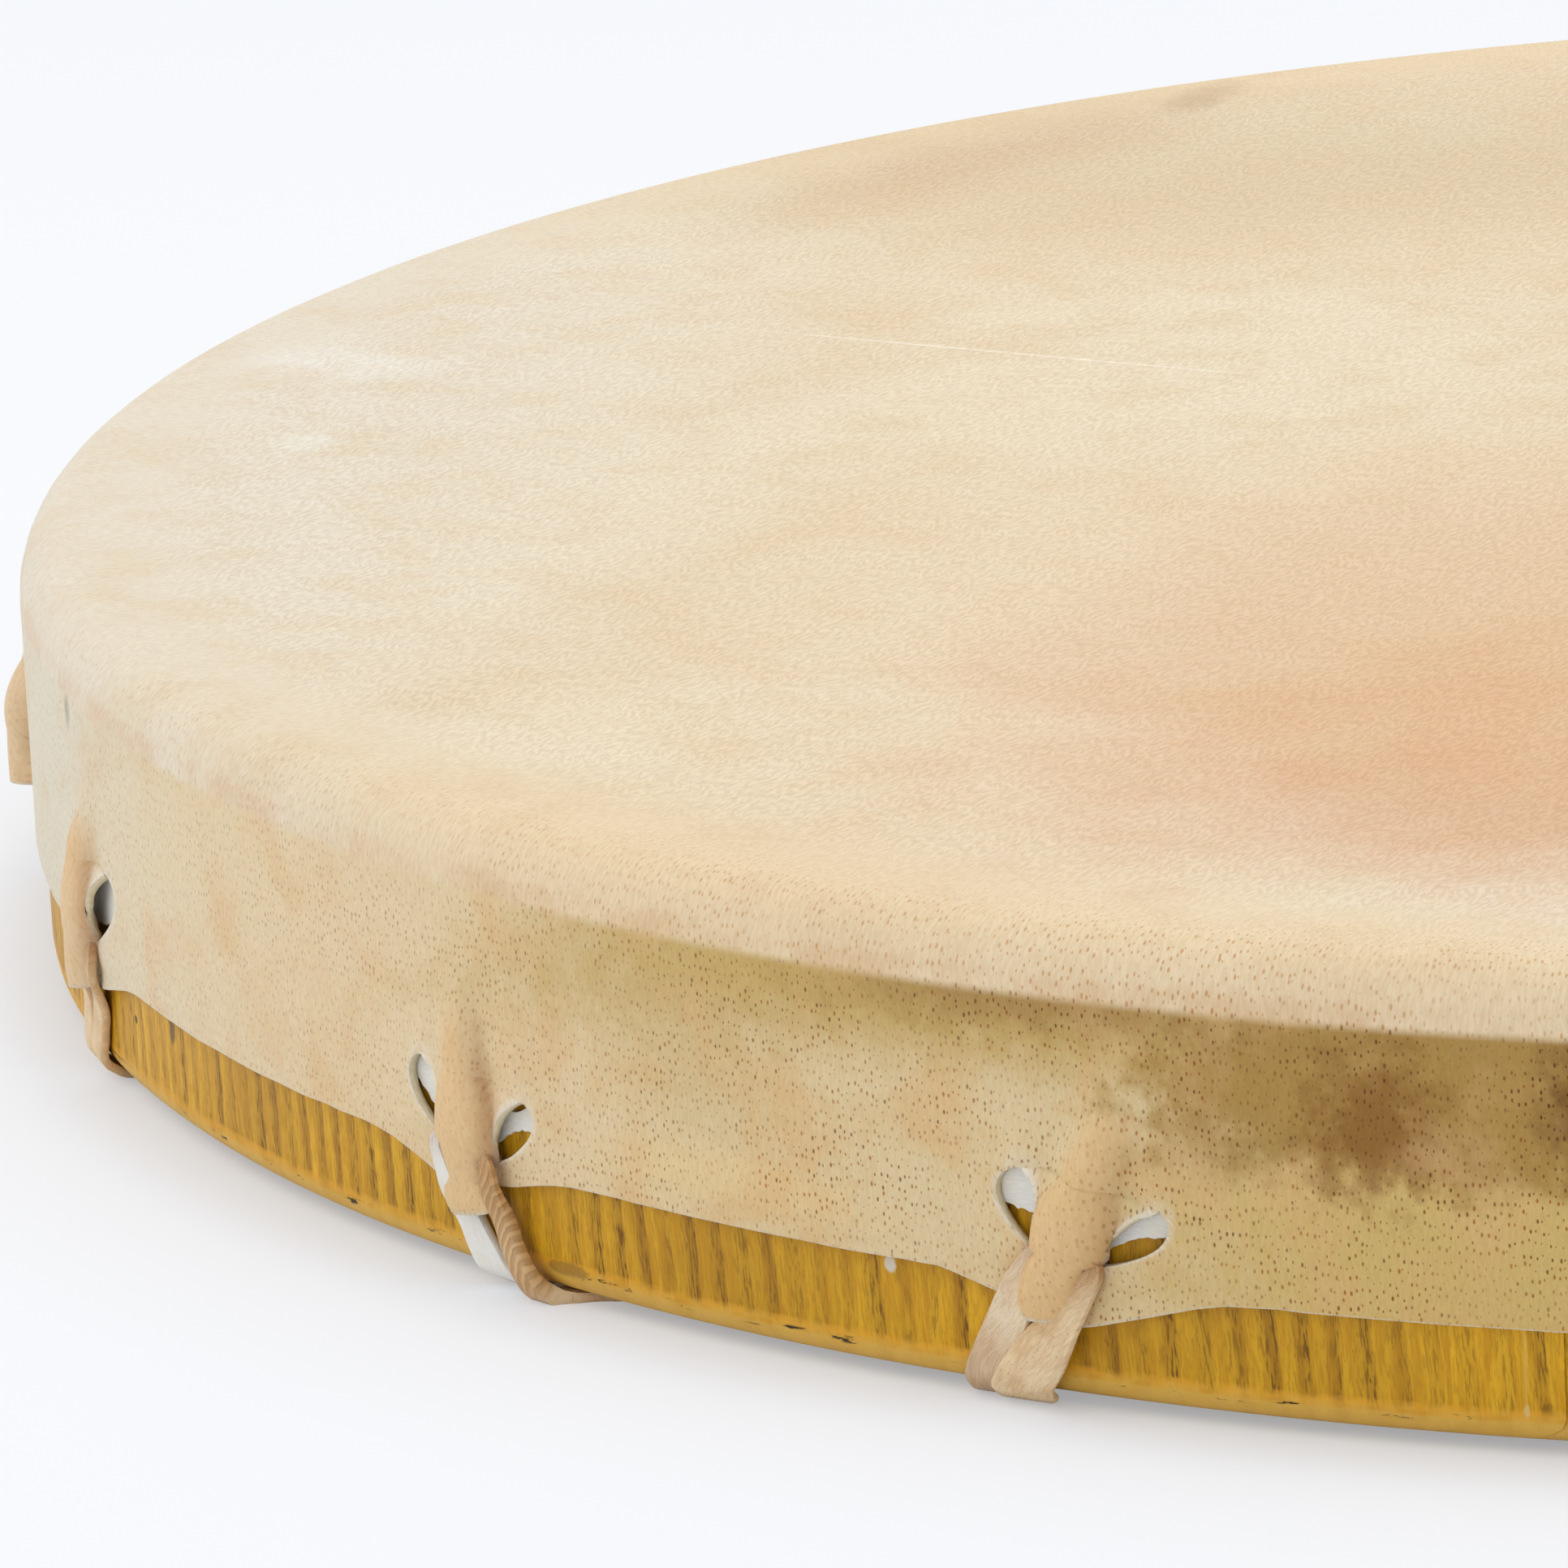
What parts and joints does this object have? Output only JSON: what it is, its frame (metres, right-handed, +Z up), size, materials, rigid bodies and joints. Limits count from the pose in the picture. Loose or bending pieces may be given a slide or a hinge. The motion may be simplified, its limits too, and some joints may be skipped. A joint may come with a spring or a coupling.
{
  "type": "shaman frame drum",
  "caption": "Wide shallow hoop with a rawhide head laced round its lower edge, and a laced cross grip in its open back; it is held by the cross and struck on the head.",
  "frame": {"origin": "on the ground under the middle of the hoop, with the drum lying on its open back", "axes": "+Z up through the playing head, along the hoop's axis; the four arms of the cross grip lie along +X, +Y, -X and -Y"},
  "size_m": [0.5004, 0.5004, 0.0513],
  "materials": {
    "stained_ash": "yellow-ochre stained veneer, grain upright, satin",
    "poplar_core": "plain veneer edge, unfinished",
    "goat_rawhide": "scraped goat rawhide, hair side out, semi-matte with fine follicle dots",
    "rawhide_lace": "cut rawhide thong, dry",
    "suede_binding": "brown suede, matt",
    "ring_steel": "dull worn steel"
  },
  "bodies": {
    "root": {"hoop_outer_ply": "stained_ash", "hoop_core_ply": "poplar_core", "hoop_inner_ply": "stained_ash", "drumhead": "goat_rawhide", "lace_1_left": "rawhide_lace", "lace_1_right": "rawhide_lace", "lace_2_left": "rawhide_lace", "lace_2_right": "rawhide_lace", "lace_3_left": "rawhide_lace", "lace_3_right": "rawhide_lace", "lace_4_left": "rawhide_lace", "lace_4_right": "rawhide_lace", "grip_ring": "ring_steel", "grip_wrap_1": "suede_binding", "grip_wrap_2": "suede_binding", "grip_wrap_3": "suede_binding", "grip_wrap_4": "suede_binding", "arm_tie_1": "suede_binding", "arm_tie_2": "suede_binding", "arm_tie_3": "suede_binding", "arm_tie_4": "suede_binding"}
  },
  "joints": []
}
